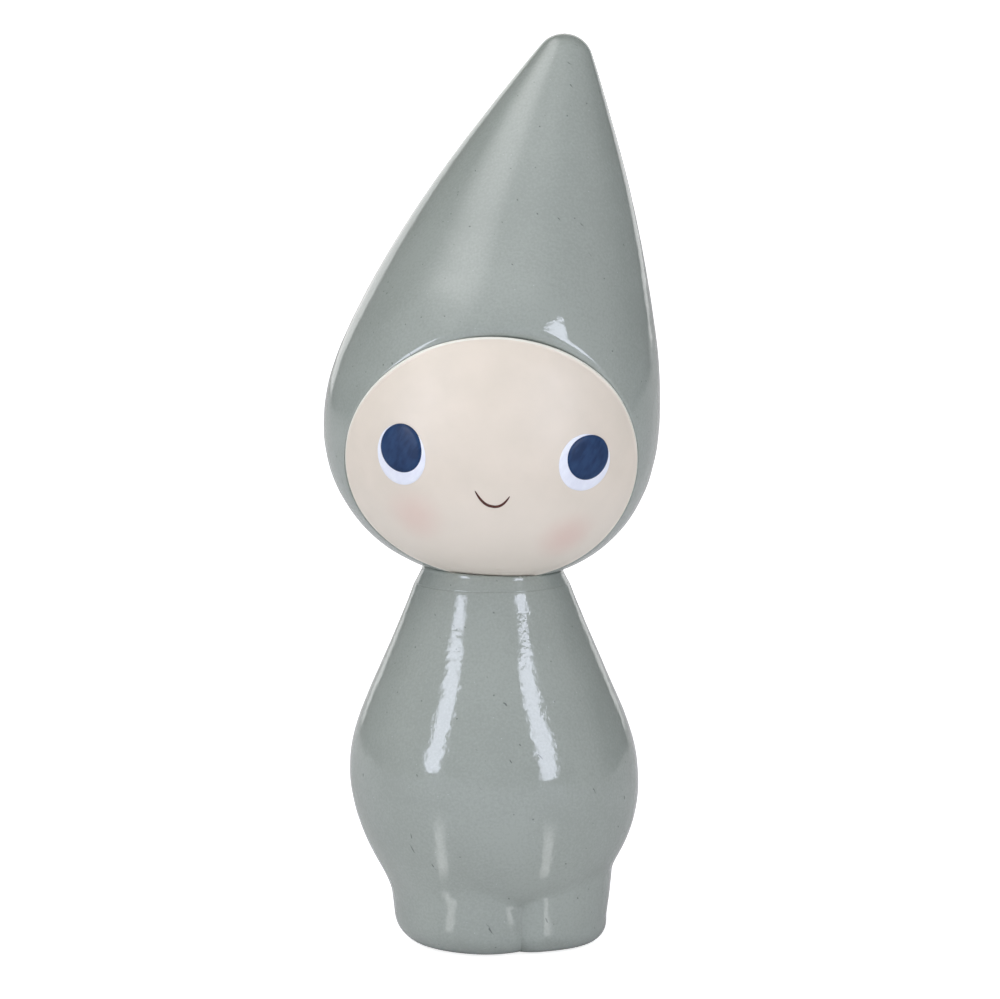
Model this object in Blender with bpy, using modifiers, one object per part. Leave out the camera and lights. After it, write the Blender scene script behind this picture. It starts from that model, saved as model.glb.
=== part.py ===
"""Tomte gnome figurine, 150 mm tall: a head casting and a body casting pinned together at the neck.

Frame: metres, +Z up, the face looks along -Y, and the origin lies under the figurine's middle on
the surface that it stands on. Left and right are as one faces the figurine, so left is -X.
"""

from math import asin, cos, pi, radians, sin, tan

import bmesh
import bpy
from mathutils import Quaternion, Vector

MM = 0.001
GAP = 0.3 * MM                      # left between touching pieces

# Head: a ball that is a little flat below, with a hood that rises to a rounded tip
HEAD_RADIUS = 27.6 * MM 
HEAD_HEIGHT = 87.05 * MM            # of the ball's centre
CHIN_DROP = 26.15 * MM              # from the ball's centre to its flatter underside
CHIN_FULLNESS = 2.15                # power of the oval between them, 2 being a plain one
HOOD_LENGTH = 64.8 * MM             # from the ball's centre to the tip
HOOD_TILT = radians(11.5)           # towards +X
HOOD_LEAN = radians(8)              # back, towards +Y
TIP_RADIUS = 4.85 * MM
TIP_SLOPE = radians(28.9)           # of the flank where it meets the tip
FLANK_HANDLES = (9.25 * MM, 35.7 * MM)

# Face: a domed inlay with an oval outline, whose edge is square to the ball
FACE_DEPTH = 2.5 * MM               # of its seat in the head
FACE_HALF_WIDTH = radians(60)
FACE_HALF_HEIGHT = radians(54.5)
FACE_ELEVATION = radians(-18)
FACE_ROLL = radians(-1)
FACE_SINK = 0.15 * MM               # of its surface below the ball's

# Eyes: round enamel discs that follow the ball, each iris in a seat in its white
WHITE_RADIUS = 5 * MM
IRIS_RADIUS = 4 * MM
WHITE_THICKNESS = 0.65 * MM
IRIS_THICKNESS = 0.35 * MM
WHITE_PROUD = 0.25 * MM
IRIS_PROUD = 0.5 * MM
EYES = {                            # azimuth and elevation of each white, then of each iris
    "left": ((-32.4, -5.0), (-32.0, -3.1)),
    "right": ((33.9, -7.9), (34.8, -6.4)),
}

# Smile: a thin round line that lies in a groove in the face
SMILE_AZIMUTH = radians(0.3)
SMILE_ELEVATION = radians(-17.3)    # of its ends
SMILE_HALF_WIDTH = radians(6.3)
SMILE_DROP = radians(4.2)
SMILE_RADIUS = 0.25 * MM
SMILE_PROUD = 0.1 * MM              # of the line's middle above the face
SMILE_POINTS = 11

# Body: a turned pear on a block of two feet
NECK_HEIGHT = 60.4 * MM             # of the body's flat top
NECK_RADIUS = 12.7 * MM
NECK_SLOPE = radians(21.2)
BELLY_HEIGHT = 28.3 * MM
BELLY_RADIUS = 23.6 * MM
BELLY_DROP = 25.7 * MM              # half height of the oval below the belly's widest ring
PEAR_FOOT = 9 * MM                  # height at which the pear ends inside the feet
SHOULDER_HANDLES = (9.4 * MM, 19 * MM)

# Feet: two lobes that meet in a groove in front and behind
FEET_TOP = 15 * MM
FEET_SHIFT = 1.2 * MM               # of the feet's middle from the pear's axis, towards +X
FEET_TOP_RADIUS = 18.8 * MM
FEET_LOW_RADIUS = 17 * MM
FEET_ROUNDING = 2.8 * MM
FEET_YAW = radians(14)              # the groove faces this far towards +X
GROOVE_DEPTH = 0.15                 # as a share of the feet's radius
GROOVE_REACH = radians(39)          # how far round from the groove the lobe starts to turn in

# Neck: a filler bead over the seam, and a dowel in a bore in each casting
BEAD_INNER_RADIUS = 9.6 * MM
BEAD_TOP_RADIUS = 11.5 * MM
BEAD_HEIGHT = 3.5 * MM              # before the head's underside is cut out of it
BEAD_HOLLOW = 0.25 * MM
DOWEL_RADIUS = 3 * MM
DOWEL_LENGTH = 24 * MM
DOWEL_CHAMFER = 0.6 * MM
DOWEL_MIDDLE = 59.5 * MM
DOWEL_END_ROOM = 0.8 * MM

# Felt pads: one half disc in a shallow seat under each foot
PAD_THICKNESS = 1 * MM
PAD_PROUD = 0.4 * MM                # of the pads below the feet
PAD_RADIUS = 11 * MM
PAD_SPLIT = 2 * MM                  # from the groove's line to each pad's straight edge
PAD_POINTS = 16

TURN_STEPS = 56
CHIN_POINTS = 14
HEAD_CENTRE = Vector((0, 0, HEAD_HEIGHT))


# ---------------------------------------------------------------- scene and materials

def clear_scene():
    """Empty the scene of the objects that a new file starts with."""
    for thing in list(bpy.data.objects):
        bpy.data.objects.remove(thing, do_unlink=True)


def add_collection(name):
    """Add a collection to the scene."""
    collection = bpy.data.collections.new(name)
    bpy.context.scene.collection.children.link(collection)
    return collection


def linear(red, green, blue):
    """Scene-linear colour of an 8-bit screen colour."""
    return tuple(((value / 255 + 0.055) / 1.055) ** 2.4 for value in (red, green, blue))


def add_material(name, colour, roughness, coat=0.0):
    """Principled material; none of the figurine's materials is a metal."""
    material = bpy.data.materials.new(name)
    material.use_nodes = True
    shader = material.node_tree.nodes["Principled BSDF"]
    shader.inputs["Base Color"].default_value = (*linear(*colour), 1)
    shader.inputs["Roughness"].default_value = roughness
    shader.inputs["Metallic"].default_value = 0.0
    shader.inputs["Coat Weight"].default_value = coat
    material.diffuse_color = (*linear(*colour), 1)
    return material


def add_empty(name, location, parent=None):
    """Frame that pieces are placed in."""
    empty = bpy.data.objects.new(name, None)
    empty.empty_display_size = 10 * MM
    empty.location = location
    empty.parent = parent
    PARTS.objects.link(empty)
    return empty


def add_piece(name, data, parent=None, material=None, rotation=None, location=(0, 0, 0)):
    """Object for one piece, or for one cutter where it has no material."""
    piece = bpy.data.objects.new(name, data)
    piece.location = location
    piece.parent = parent
    if rotation is not None:
        piece.rotation_euler = rotation
    if material is None:
        CUTTERS.objects.link(piece)
        piece.display_type = "WIRE"
        piece.hide_render = True
    else:
        PARTS.objects.link(piece)
        data.materials.append(material)
    return piece


# ---------------------------------------------------------------- outlines

def arc(centre, radius, start, end, count):
    """Points along a circle in the profile's plane, from one angle to another."""
    angles = [start + (end - start) * i / count for i in range(count + 1)]
    return [(centre[0] + radius * cos(a), centre[1] + radius * sin(a)) for a in angles]


def bezier(start, handle_start, handle_end, end, count):
    """Points along a cubic curve in the profile's plane."""
    points = []
    for i in range(count + 1):
        t = i / count
        weights = ((1 - t) ** 3, 3 * (1 - t) ** 2 * t, 3 * (1 - t) * t ** 2, t ** 3)
        corners = (start, handle_start, handle_end, end)
        points.append(tuple(sum(w * c[axis] for w, c in zip(weights, corners)) for axis in (0, 1)))
    return points


def direction(azimuth, elevation):
    """Unit vector; azimuth 0 is the front (-Y) and grows towards +X."""
    return Vector((sin(azimuth) * cos(elevation), -cos(azimuth) * cos(elevation), sin(elevation)))


def pointing(azimuth, elevation, roll=0.0):
    """Rotation that turns +Z to a direction and keeps X level before the roll."""
    turn = direction(azimuth, elevation).to_track_quat("Z", "Y")
    return (turn @ Quaternion((0, 0, 1), roll)).to_euler()


# ---------------------------------------------------------------- shapes

def turned(name, profile, closed=False, steps=TURN_STEPS, **place):
    """Turned piece: the profile runs down its outer side and is screwed once round Z."""
    mesh = bpy.data.meshes.new(name)
    edges = [(i, i + 1) for i in range(len(profile) - 1)]
    if closed:
        edges.append((len(profile) - 1, 0))
    mesh.from_pydata([(x, 0, z) for x, z in profile], edges, [])
    piece = add_piece(name, mesh, **place)
    screw = piece.modifiers.new("turn", "SCREW")
    screw.steps = steps
    screw.render_steps = steps
    screw.use_smooth_shade = True
    screw.use_merge_vertices = True
    screw.merge_threshold = 0.00001
    return piece


def ball(name, radius, parent):
    """Sphere cutter round the head's centre."""
    mesh = bpy.data.meshes.new(name)
    cage = bmesh.new()
    bmesh.ops.create_uvsphere(cage, u_segments=TURN_STEPS, v_segments=TURN_STEPS // 2, radius=radius)
    cage.to_mesh(mesh)
    cage.free()
    mesh.shade_smooth()
    return add_piece(name, mesh, parent=parent)


def oval_cone(name, half_width, half_height, near, far, **place):
    """Cone with an oval section whose point would lie at its origin, cut off at near and far."""
    mesh = bpy.data.meshes.new(name)
    cage = bmesh.new()
    bmesh.ops.create_cone(cage, segments=2 * TURN_STEPS, cap_ends=True,
                          radius1=near, radius2=far, depth=far - near)
    bmesh.ops.translate(cage, verts=cage.verts, vec=(0, 0, (near + far) / 2))
    bmesh.ops.scale(cage, verts=cage.verts, vec=(tan(half_width), tan(half_height), 1))
    cage.to_mesh(mesh)
    cage.free()
    return add_piece(name, mesh, **place)


def dome_disc(name, inner, outer, half_angle, centre, steps=32, **place):
    """Round disc that follows a ball: a turned slice between two of the ball's radii."""
    def cap_arc(radius, start, end):
        return arc((0, 0), radius, start, end, 3)
    rim = pi / 2 - half_angle
    profile = cap_arc(outer, pi / 2, rim) + cap_arc(inner, rim, pi / 2)
    azimuth, elevation = (radians(angle) for angle in centre)
    rotation = pointing(azimuth, elevation)
    return turned(name, profile, steps=steps, rotation=rotation, **place)


def boolean(piece, operation, other):
    """Cut one piece by another, or join them, with the exact solver."""
    modifier = piece.modifiers.new(f"{operation.lower()} {other.name}", "BOOLEAN")
    modifier.operation = operation
    modifier.solver = "EXACT"
    modifier.object = other


def solid_from_curve(name, curve, **place):
    """Closed mesh piece made from a curve's evaluated shape."""
    guide = bpy.data.objects.new(name + "_guide", curve)
    CUTTERS.objects.link(guide)
    bpy.context.view_layer.update()
    evaluated = guide.evaluated_get(bpy.context.evaluated_depsgraph_get())
    mesh = bpy.data.meshes.new_from_object(evaluated)
    bpy.data.objects.remove(guide, do_unlink=True)
    cage = bmesh.new()
    cage.from_mesh(mesh)
    bmesh.ops.remove_doubles(cage, verts=cage.verts, dist=0.000001)
    cage.to_mesh(mesh)
    cage.free()
    mesh.name = name
    return add_piece(name, mesh, **place)


def poly_curve(name, points, dimensions):
    """Curve through the points with one straight-sided spline."""
    curve = bpy.data.curves.new(name, "CURVE")
    curve.dimensions = dimensions
    spline = curve.splines.new("POLY")
    spline.points.add(len(points) - 1)
    for knot, spot in zip(spline.points, points):
        knot.co = (*spot, 1)
    return curve


def round_wire(name, points, radius, **place):
    """Wire of round section along the points."""
    curve = poly_curve(name, points, "3D")
    curve.bevel_depth = radius
    curve.bevel_resolution = 2
    curve.use_fill_caps = True
    return solid_from_curve(name, curve, **place)


def flat_plate(name, outline, thickness, **place):
    """Plate with the outline, centred on its own origin."""
    curve = poly_curve(name, [(x, y, 0) for x, y in outline], "2D")
    curve.splines[0].use_cyclic_u = True
    curve.fill_mode = "BOTH"
    curve.extrude = thickness / 2
    return solid_from_curve(name, curve, **place)


# ---------------------------------------------------------------- head

def head_outline(share=1.0):
    """Outline of the head, tip to underside, at a share of its full size."""
    tip_centre = (0, HOOD_LENGTH - TIP_RADIUS)
    tip = arc(tip_centre, TIP_RADIUS, pi / 2, TIP_SLOPE, 5)
    joint = tip[-1]
    lower_handle, upper_handle = FLANK_HANDLES
    flank = bezier(joint,
                   (joint[0] + upper_handle * sin(TIP_SLOPE), joint[1] - upper_handle * cos(TIP_SLOPE)),
                   (HEAD_RADIUS, lower_handle),
                   (HEAD_RADIUS, 0), 13)
    chin = []
    for i in range(1, CHIN_POINTS + 1):
        angle = pi / 2 * i / CHIN_POINTS
        across = cos(angle) if i < CHIN_POINTS else 0
        reach = (across ** CHIN_FULLNESS + sin(angle) ** CHIN_FULLNESS) ** (-1 / CHIN_FULLNESS)
        chin.append((HEAD_RADIUS * across * reach, -CHIN_DROP * sin(angle) * reach))
    return [(share * x, share * z) for x, z in tip + flank[1:] + chin]


def head_form(name, margin, **place):
    """Turned head, larger than life by a margin, leaning with the hood."""
    hood_axis = Vector((tan(HOOD_TILT), tan(HOOD_LEAN), 1))
    return turned(name, head_outline(1 + margin / HEAD_RADIUS), parent=HEAD,
                  rotation=hood_axis.to_track_quat("Z", "Y").to_euler(), **place)


def make_hood(dowel_bore, face_seat):
    """Head casting: ball below, pointed hood above, with a seat for the face and a dowel bore."""
    hood = head_form("hood", 0, material=SAGE)
    boolean(hood, "DIFFERENCE", face_seat)
    boolean(hood, "DIFFERENCE", dowel_bore)


def face_cone(name, shrink, **place):
    """Cone from the head's centre through the face's outline, drawn in by a margin on the ball."""
    margin = shrink / HEAD_RADIUS
    near = 4 * MM
    far = HEAD_RADIUS + 3 * MM
    return oval_cone(name, FACE_HALF_WIDTH - margin, FACE_HALF_HEIGHT - margin, near, far,
                     parent=HEAD, rotation=pointing(0, FACE_ELEVATION, FACE_ROLL), **place)


def make_face_seat():
    """Cutter for the hollow that the face sits in."""
    seat = face_cone("face_seat", 0)
    boolean(seat, "DIFFERENCE", ball("seat_floor", HEAD_RADIUS - FACE_DEPTH, HEAD))
    return seat


def make_face():
    """Domed cream face with seats for the eyes and a groove for the smile."""
    surface = HEAD_RADIUS - FACE_SINK
    face = face_cone("face", GAP, material=CREAM)
    boolean(face, "INTERSECT", ball("face_surface", surface, HEAD))
    boolean(face, "INTERSECT", head_form("face_chin", -FACE_SINK))
    boolean(face, "DIFFERENCE", ball("face_back", HEAD_RADIUS - FACE_DEPTH + GAP, HEAD))
    for side, (white_centre, iris_centre) in EYES.items():
        white_outer = surface + WHITE_PROUD
        white_inner = white_outer - WHITE_THICKNESS
        iris_outer = surface + IRIS_PROUD
        iris_inner = iris_outer - IRIS_THICKNESS
        above = HEAD_RADIUS + 2 * MM
        seat = dome_disc("eye_seat_" + side, white_inner - GAP, above,
                         (WHITE_RADIUS + GAP) / HEAD_RADIUS, white_centre, parent=HEAD)
        boolean(face, "DIFFERENCE", seat)
        white = dome_disc("eye_white_" + side, white_inner, white_outer,
                          WHITE_RADIUS / HEAD_RADIUS, white_centre, parent=HEAD, material=WHITE)
        iris_seat = dome_disc("iris_seat_" + side, iris_inner - GAP, above,
                              (IRIS_RADIUS + GAP) / HEAD_RADIUS, iris_centre, parent=HEAD)
        boolean(white, "DIFFERENCE", iris_seat)
        dome_disc("iris_" + side, iris_inner, iris_outer,
                  IRIS_RADIUS / HEAD_RADIUS, iris_centre, parent=HEAD, material=NAVY)
    boolean(face, "DIFFERENCE", make_smile("smile_groove", SMILE_RADIUS + GAP, None))
    make_smile("smile", SMILE_RADIUS, BROWN)


def make_smile(name, radius, material):
    """Line that sags between its two ends along the face's surface."""
    points = []
    for i in range(SMILE_POINTS):
        across = 2 * i / (SMILE_POINTS - 1) - 1
        azimuth = SMILE_AZIMUTH + SMILE_HALF_WIDTH * across
        elevation = SMILE_ELEVATION - SMILE_DROP * (1 - across ** 2)
        points.append((HEAD_RADIUS - FACE_SINK + SMILE_PROUD) * direction(azimuth, elevation))
    return round_wire(name, points, radius, parent=HEAD, material=material)


# ---------------------------------------------------------------- body

def make_feet():
    """Block of two lobed feet, narrower towards the rounded lower edge."""
    count = TURN_STEPS + 8
    rounding = arc((-FEET_ROUNDING, PAD_PROUD + FEET_ROUNDING), FEET_ROUNDING, -pi / 2, 0, 5)
    levels = [(FEET_LOW_RADIUS + inset, height) for inset, height in rounding]
    levels.append((FEET_TOP_RADIUS, FEET_TOP))
    cage = bmesh.new()
    rings = []
    for radius, height in levels:
        ring = []
        for i in range(count):
            turn = 2 * pi * i / count
            off_groove = min(turn % pi, pi - turn % pi)
            lobe = max(0, 1 - off_groove / GROOVE_REACH) ** 2
            reach = radius * (1 - GROOVE_DEPTH * lobe)
            spot = reach * direction(FEET_YAW + turn, 0)
            ring.append(cage.verts.new((FEET_SHIFT + spot.x, spot.y, height)))
        rings.append(ring)
    for lower, upper in zip(rings, rings[1:]):
        for i in range(count):
            j = (i + 1) % count
            cage.faces.new((lower[i], lower[j], upper[j], upper[i]))
    cage.faces.new(rings[0][::-1])
    cage.faces.new(rings[-1])
    mesh = bpy.data.meshes.new("feet_block")
    cage.to_mesh(mesh)
    cage.free()
    return add_piece("feet_block", mesh)


def make_body(dowel_bore, head_room):
    """Body casting: a turned pear joined to the feet, dished and bored at the top for the head."""
    lower_handle, upper_handle = SHOULDER_HANDLES
    shoulder = bezier((NECK_RADIUS, NECK_HEIGHT),
                      (NECK_RADIUS + upper_handle * sin(NECK_SLOPE), NECK_HEIGHT - upper_handle * cos(NECK_SLOPE)),
                      (BELLY_RADIUS, BELLY_HEIGHT + lower_handle),
                      (BELLY_RADIUS, BELLY_HEIGHT), 12)
    foot_angle = -asin((BELLY_HEIGHT - PEAR_FOOT) / BELLY_DROP)
    angles = [foot_angle * i / 9 for i in range(1, 10)]
    belly = [(BELLY_RADIUS * cos(a), BELLY_HEIGHT + BELLY_DROP * sin(a)) for a in angles]
    profile = [(0, NECK_HEIGHT)] + shoulder + belly + [(0, PEAR_FOOT)]
    body = turned("body", profile, parent=FIGURINE, material=SAGE)
    boolean(body, "UNION", make_feet())
    boolean(body, "DIFFERENCE", head_room)
    boolean(body, "DIFFERENCE", dowel_bore)
    return body


# ---------------------------------------------------------------- neck and pads

def make_neck_bead(head_room):
    """Ring of filler between the head's underside and the body's flat top, a little hollow outside."""
    floor = NECK_HEIGHT + GAP
    foot_radius = NECK_RADIUS - GAP * tan(NECK_SLOPE)
    top = floor + BEAD_HEIGHT
    middle = ((foot_radius + BEAD_TOP_RADIUS) / 2 - BEAD_HOLLOW, (floor + top) / 2)
    profile = [(BEAD_TOP_RADIUS, top), middle, (foot_radius, floor),
               (BEAD_INNER_RADIUS, floor), (BEAD_INNER_RADIUS, top)]
    bead = turned("neck_bead", profile, closed=True, parent=FIGURINE, material=SAGE)
    boolean(bead, "DIFFERENCE", head_room)


def dowel_profile(radius, half_length, chamfer):
    """Outline of a round pin with chamfered ends, centred on its own origin."""
    return [(0, half_length), (radius - chamfer, half_length), (radius, half_length - chamfer),
            (radius, chamfer - half_length), (radius - chamfer, -half_length), (0, -half_length)]


def make_dowel_bore():
    """Cutter for the bore that runs into both castings."""
    profile = dowel_profile(DOWEL_RADIUS + GAP, DOWEL_LENGTH / 2 + DOWEL_END_ROOM, DOWEL_CHAMFER)
    return turned("dowel_bore", profile, steps=32, parent=FIGURINE, location=(0, 0, DOWEL_MIDDLE))


def make_dowel():
    """Wooden dowel that pins the head to the body."""
    profile = dowel_profile(DOWEL_RADIUS, DOWEL_LENGTH / 2, DOWEL_CHAMFER)
    turned("neck_dowel", profile, steps=32, parent=FIGURINE, material=BEECH,
           location=(0, 0, DOWEL_MIDDLE))


def half_disc(radius, split):
    """Outline of the part of a disc that lies more than the split beyond its middle, on +X."""
    corner = pi / 2 - asin(split / radius)
    return arc((0, 0), radius, -corner, corner, PAD_POINTS)


def add_pads(body):
    """Felt pads in seats, one on each side of the groove's line."""
    for side, turn in (("left", pi), ("right", 0)):
        rotation = (0, 0, FEET_YAW + turn)
        seat = flat_plate("pad_seat_" + side, half_disc(PAD_RADIUS + GAP, PAD_SPLIT - GAP),
                          2 * (PAD_THICKNESS + GAP), location=(FEET_SHIFT, 0, 0), rotation=rotation)
        boolean(body, "DIFFERENCE", seat)
        flat_plate("felt_pad_" + side, half_disc(PAD_RADIUS, PAD_SPLIT), PAD_THICKNESS,
                   location=(FEET_SHIFT, 0, PAD_THICKNESS / 2), rotation=rotation,
                   parent=FIGURINE, material=FELT)


clear_scene()
PARTS = add_collection("tomte_gnome_figurine")
CUTTERS = add_collection("cutters")

SAGE = add_material("sage_lacquer", (146, 154, 151), 0.12, coat=1.0)
CREAM = add_material("cream_face", (222, 211, 201), 0.55)
WHITE = add_material("white_enamel", (232, 234, 242), 0.25)
NAVY = add_material("navy_enamel", (38, 62, 98), 0.25)
BROWN = add_material("brown_line", (92, 58, 50), 0.4)
BEECH = add_material("beech_dowel", (190, 150, 108), 0.6)
FELT = add_material("grey_felt", (96, 98, 96), 0.95)

FIGURINE = add_empty("figurine", (0, 0, 0))
HEAD = add_empty("head_centre", HEAD_CENTRE, FIGURINE)

bore = make_dowel_bore()
make_hood(bore, make_face_seat())
make_face()
room = head_form("head_room", GAP)
add_pads(make_body(bore, room))
make_neck_bead(room)
make_dowel()
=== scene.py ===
"""Looks of the tomte gnome figurine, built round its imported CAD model.

Metres, +Z up, and the face looks along -Y. Left is -X, as one faces the figurine.
Every skin is a grid of rings that closes on itself, so each piece is one solid mesh.
"""

from math import cos, pi, radians, sin, tan

import bpy
import numpy as np
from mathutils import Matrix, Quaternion, Vector


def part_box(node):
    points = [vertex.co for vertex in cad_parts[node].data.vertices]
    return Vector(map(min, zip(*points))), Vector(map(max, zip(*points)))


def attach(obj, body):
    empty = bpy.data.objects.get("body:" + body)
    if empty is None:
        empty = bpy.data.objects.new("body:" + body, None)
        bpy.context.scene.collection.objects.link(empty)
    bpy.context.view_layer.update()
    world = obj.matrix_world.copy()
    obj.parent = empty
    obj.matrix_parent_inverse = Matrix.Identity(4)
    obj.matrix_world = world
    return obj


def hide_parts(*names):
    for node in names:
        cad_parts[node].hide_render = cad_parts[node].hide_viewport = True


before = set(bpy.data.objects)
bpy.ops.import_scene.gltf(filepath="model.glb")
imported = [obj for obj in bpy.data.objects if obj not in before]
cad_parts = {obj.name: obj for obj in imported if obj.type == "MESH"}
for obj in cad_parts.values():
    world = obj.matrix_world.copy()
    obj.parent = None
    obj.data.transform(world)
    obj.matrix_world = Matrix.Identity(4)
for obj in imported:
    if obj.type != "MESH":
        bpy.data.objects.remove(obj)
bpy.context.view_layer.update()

MM = 0.001
HOOD_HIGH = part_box("hood")[1]
BODY_LOW, BODY_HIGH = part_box("body")

# Head: a ball that is a little flat below, with a hood that rises to a rounded tip
HEAD_RADIUS = HOOD_HIGH.y
CHIN_DROP = 0.947 * HEAD_RADIUS
CHIN_FULLNESS = 2.15
HOOD_LENGTH = 2.348 * HEAD_RADIUS
HOOD_AXIS = Vector((tan(radians(11.5)), tan(radians(8)), 1)).normalized()
TIP_RADIUS = 0.1757 * HEAD_RADIUS
TIP_SLOPE = radians(28.9)
FLANK_HANDLES = (0.335 * HEAD_RADIUS, 1.2935 * HEAD_RADIUS)
TIP_RISE = (HOOD_LENGTH - TIP_RADIUS) * HOOD_AXIS.z + TIP_RADIUS
HOOD_SWAY = 1.5 * MM                # how far the hood's middle part bellies back
SWAY_FADE = 20 * MM                 # from the lip to where the hood bellies back in full
SWAY_FOOT = 0.3 * HEAD_RADIUS       # height along the axis where it starts
HEAD_CENTRE = np.array((0, 0, HOOD_HIGH.z - TIP_RISE))

# Face: a domed inlay in an oval opening, whose lip stands proud over the forehead
FACE_HALF_WIDTH = radians(60)
FACE_HALF_HEIGHT = radians(54.5)
FACE_ELEVATION = radians(-18)
FACE_ROLL = radians(-1)
FACE_SINK = 0.15 * MM
FACE_THICKNESS = 2 * MM
FACE_GAP = 0.05 * MM
FACE_EDGE = 0.12 * MM
SEAT_DEPTH = 2.5 * MM
LIP_THIN = 0.22 * MM
LIP_THICK = 1.6 * MM
BROW_RISE = 0.35 * MM               # of the forehead over the ball, where the hood starts to rise
BROW_FILLET = 0.3 * MM
RIM_HEIGHT = 0.12 * MM
RIM_INSET = 0.45 * MM
RIM_SPREAD = 0.22 * MM

# Eyes and smile: brushed enamel that stands a hair above the face
WHITE_RADIUS = 4.9 * MM
WHITE_PROUD = 0.22 * MM
IRIS_RADIUS = 3.95 * MM
IRIS_PROUD = 0.42 * MM
SMILE_HALF_WIDTH = radians(6.2)
SMILE_DROP = radians(5)
SMILE_WIDTH = 0.5 * MM
SMILE_PROUD = 0.12 * MM
SMILE_SINK = radians(0.8)           # of the drawn ends below the top of the CAD's line
SMILE_TILT = radians(1)

# Body: a pear on a block of two lobed feet
BELLY_RADIUS = (BODY_HIGH.x - BODY_LOW.x) / 2
NECK_HEIGHT = BODY_HIGH.z
FOOT_HEIGHT = BODY_LOW.z
NECK_RADIUS = 0.538 * BELLY_RADIUS
NECK_SLOPE = radians(21.2)
SHOULDER_EDGE = 0.9 * MM            # height over which the body's top turns in to the neck
SHOULDER_TURN = 0.3                 # sine of the angle that it turns by
BELLY_HEIGHT = 1.2 * BELLY_RADIUS
BELLY_DROP = 1.09 * BELLY_RADIUS
SHOULDER_HANDLES = (0.4 * BELLY_RADIUS, 0.805 * BELLY_RADIUS)
FEET_SHIFT = 1.2 * MM
FEET_TOP = 15 * MM
FEET_TOP_RADIUS = 0.797 * BELLY_RADIUS
FEET_LOW_RADIUS = 0.72 * BELLY_RADIUS
FEET_ROUNDING = 3.4 * MM
FEET_TILT = 0.3 * MM                # that the feet stand out more on the +X side
FEET_YAW = radians(14)
LEFT_LOBE = radians(34)             # how far round from the groove each lobe starts to turn in
RIGHT_LOBE = radians(14)
LEFT_DENT = 0.17                    # depth of the groove on each side, as a share of the radius
RIGHT_DENT = 0.085
RIGHT_SET_BACK = 0.085              # of the right foot behind the left, as a share of the radius
CREASE_LOW = 15 * MM                # heights between which the belly meets the feet
CREASE_HIGH = 26 * MM
CREASE_TILT = 0.5 * MM
TOE_SHIFT = 0.6 * MM                # of the soles' edge beyond the feet's own shift
BELLY_BULGE = 0.4 * MM              # on the +X side
BELLY_BULGE_REACH = 11 * MM
CHEST_BULGE = 0.4 * MM              # in front, above the belly
CHEST_BULGE_REACH = 8 * MM
CHEST_HEIGHT = 49 * MM

# Neck: a sloping band with a rounded crown, under the head
NECK_BAND_SLOPE = radians(27)
NECK_BAND_INSET = 0.06 * MM
NECK_CROWN = 0.5 * MM
NECK_INNER_SHARE = 0.78
NECK_OVERLAP = 0.05 * MM            # into the body below and the head above

# Castings: a surface that isn't quite even
COARSE_WAVE = 15 * MM
FINE_WAVE = 5 * MM

COLUMNS = 384


# ---------------------------------------------------------------- arrays of points

def unit(vectors):
    """Vectors scaled to length one."""
    return vectors / np.linalg.norm(vectors, axis=-1, keepdims=True)


def smooth_step(value, start, end):
    """0 before start, 1 after end, and a soft S between them."""
    t = np.clip((value - start) / (end - start), 0, 1)
    return t * t * (3 - 2 * t)


def smooth_max(a, b, reach):
    """The larger of two values, with a fillet where they are closer than reach."""
    blend = np.clip(1 - np.abs(a - b) / reach, 0, 1)
    return np.maximum(a, b) + blend ** 2 * reach / 4


def bezier(corners, count):
    """Points along a cubic curve with these four corners."""
    t = np.linspace(0, 1, count)[:, None]
    weights = ((1 - t) ** 3, 3 * (1 - t) ** 2 * t, 3 * (1 - t) * t ** 2, t ** 3)
    return sum(w * np.array(c) for w, c in zip(weights, corners))


def basis(axis, roll=0.0):
    """Matrix whose columns are level, up and outward axes; outward is the given axis."""
    turn = Vector(axis).to_track_quat("Z", "Y") @ Quaternion((0, 0, 1), roll)
    return np.array(turn.to_matrix())


def direction(azimuth, elevation):
    """Unit vector; azimuth 0 is the front (-Y) and grows towards +X."""
    return np.stack((np.sin(azimuth) * np.cos(elevation),
                     -np.cos(azimuth) * np.cos(elevation),
                     np.sin(elevation) + 0 * azimuth), axis=-1)


def unevenness(points, wavelength, seed):
    """Smooth random relief of unit strength, like that of a surface rubbed down by hand."""
    chance = np.random.default_rng(seed)
    waves = 9
    total = np.zeros(points.shape[:-1])
    for _ in range(waves):
        heading = unit(chance.normal(size=3))
        length = wavelength * chance.uniform(0.7, 1.5)
        total += np.sin(2 * pi * (points @ heading) / length + chance.uniform(0, 2 * pi))
    return total * (2 / waves) ** 0.5


def relief(points, centre, coarse=0.04 * MM, fine=0.009 * MM):
    """Small outward shifts that make a casting's surface slightly uneven."""
    outward = unit(points - centre)
    depth = coarse * unevenness(points, COARSE_WAVE, 3) + fine * unevenness(points, FINE_WAVE, 8)
    return outward * depth[..., None]


# ---------------------------------------------------------------- meshes

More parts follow.
